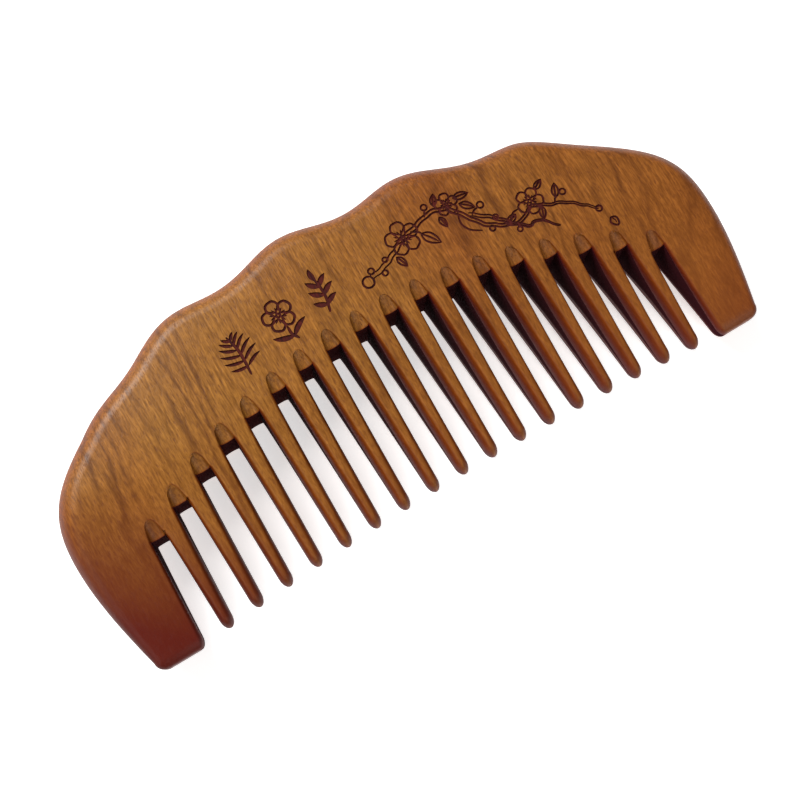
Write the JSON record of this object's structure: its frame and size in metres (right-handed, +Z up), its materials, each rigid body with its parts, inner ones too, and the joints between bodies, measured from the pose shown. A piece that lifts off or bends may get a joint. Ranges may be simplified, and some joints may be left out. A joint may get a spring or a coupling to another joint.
{
  "type": "wide tooth comb",
  "caption": "Solid wooden comb with a wavy rounded back, wide saw-cut gaps and tapered round-tipped teeth between broad end teeth.",
  "frame": {"origin": "centre of the outline's box, on the plane that the comb rests on when it lies on its back face", "axes": "+X along the length, +Y from the teeth towards the wavy back, +Z up out of the face"},
  "size_m": [0.13, 0.0558, 0.012],
  "materials": {
    "oiled_sandalwood": "golden to red brown fine-grained wood, sanded and oiled to a satin sheen"
  },
  "bodies": {
    "root": {"comb": "oiled_sandalwood"}
  },
  "joints": []
}
